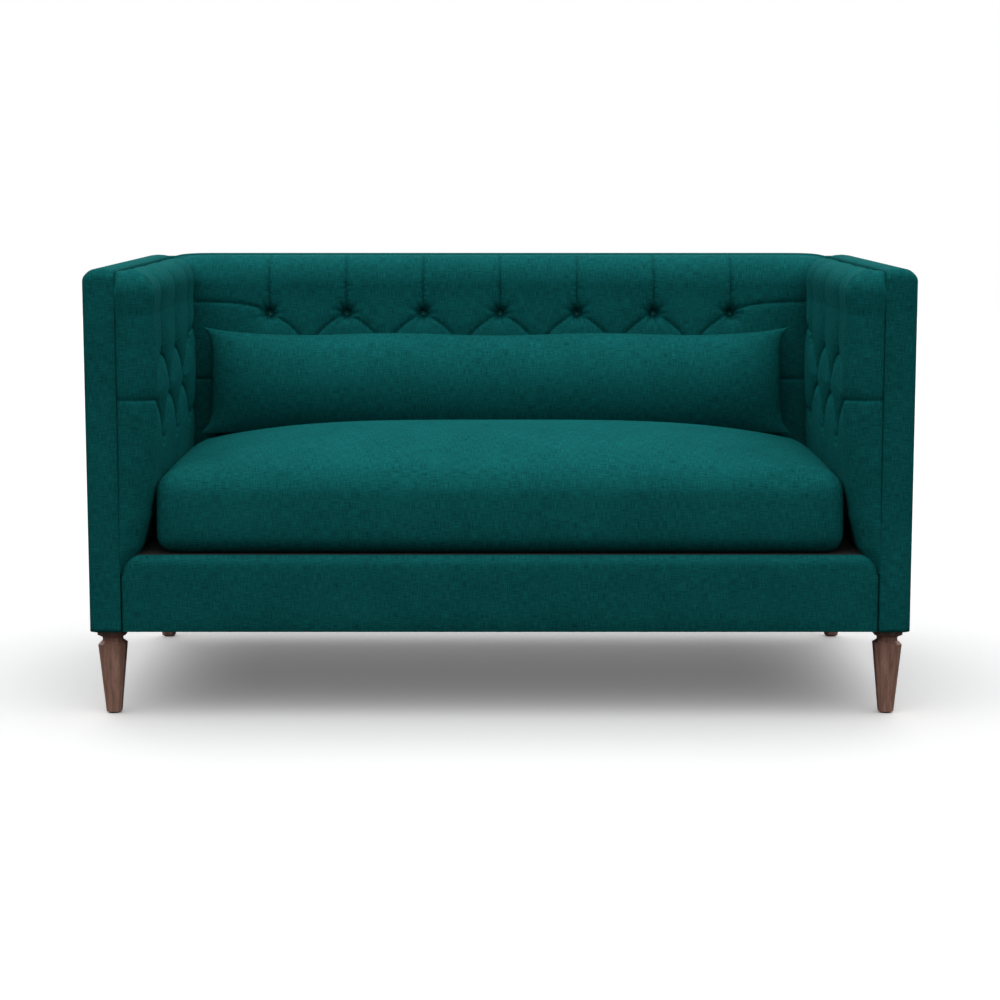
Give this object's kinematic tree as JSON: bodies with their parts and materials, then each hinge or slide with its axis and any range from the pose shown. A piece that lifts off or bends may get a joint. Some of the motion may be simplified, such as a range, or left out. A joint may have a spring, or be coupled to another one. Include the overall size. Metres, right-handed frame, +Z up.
{
  "type": "sofa",
  "caption": "Two-seater tuxedo sofa with button-tufted arms and back, a crowned bench seat cushion, a long lumbar cushion and tapered wooden legs.",
  "frame": {"origin": "on the floor, under the middle of the sofa", "axes": "+X to the right seen from the front, -Y the front, +Z up"},
  "size_m": [1.5, 0.84, 0.818],
  "materials": {
    "teal_weave": "matte",
    "leg_walnut": "satin",
    "frame_timber": "matte",
    "steel": "satin",
    "foam": "matte",
    "fibreboard": "matte",
    "jute": "matte",
    "black_cloth": "matte",
    "glide_plastic": "matte",
    "zip_tape": "matte",
    "zip_metal": "satin"
  },
  "bodies": {
    "sofa_body": {"arm_button_twines": "jute", "arm_buttons_left": "teal_weave", "arm_buttons_right": "teal_weave", "arm_foam_left": "foam", "arm_foam_right": "foam", "arm_front_post_left": "frame_timber", "arm_front_post_right": "frame_timber", "arm_inner_panel_left": "fibreboard", "arm_inner_panel_right": "fibreboard", "arm_tack_rail_left": "frame_timber", "arm_tack_rail_right": "frame_timber", "arm_top_rail_left": "frame_timber", "arm_top_rail_right": "frame_timber", "back_button_twines": "jute", "back_buttons": "teal_weave", "back_foam": "foam", "back_hessian": "jute", "back_post_left": "frame_timber", "back_post_right": "frame_timber", "back_tack_rail": "frame_timber", "back_top_band": "teal_weave", "back_top_rail": "frame_timber", "back_uprights": "frame_timber", "back_webbing": "jute", "centre_brace": "frame_timber", "corner_blocks": "frame_timber", "dust_cover": "black_cloth", "frame_screws": "steel", "front_border_cover": "teal_weave", "front_border_foam": "foam", "front_rail": "frame_timber", "inside_arm_cover_left": "teal_weave", "inside_arm_cover_right": "teal_weave", "inside_back_cover": "teal_weave", "leg_bolts": "steel", "leg_front_left": "leg_walnut", "leg_front_right": "leg_walnut", "leg_glides": "glide_plastic", "leg_inserts": "steel", "leg_rear_left": "leg_walnut", "leg_rear_right": "leg_walnut", "outer_arm_cover_left": "teal_weave", "outer_arm_cover_right": "teal_weave", "outside_back_cover": "teal_weave", "rear_rail": "frame_timber", "seat_deck_cloth": "black_cloth", "seat_felt": "foam", "seat_springs": "steel", "side_rail_left": "frame_timber", "side_rail_right": "frame_timber", "spring_clips": "steel", "spring_tie_wires": "steel"},
    "seat_cushion": {"seat_cushion_cover": "teal_weave", "seat_cushion_wrap": "foam", "seat_cushion_core": "foam", "seat_cushion_zip": "zip_tape"},
    "lumbar_cushion": {"lumbar_cover": "teal_weave", "lumbar_filling": "foam"},
    "zip_slider": {"seat_zip_slider": "zip_metal"}
  },
  "joints": [
    {"name": "seat_cushion_lift", "type": "slide", "parent": "sofa_body", "child": "seat_cushion", "axis": [0, 0, 1], "range_m": [0, 0.55]},
    {"name": "lumbar_cushion_lift", "type": "slide", "parent": "seat_cushion", "child": "lumbar_cushion", "axis": [0, 0, 1], "range_m": [0, 0.4]},
    {"name": "seat_zip_slide", "type": "slide", "parent": "seat_cushion", "child": "zip_slider", "axis": [1, 0, 0], "range_m": [0, 0.88]}
  ]
}
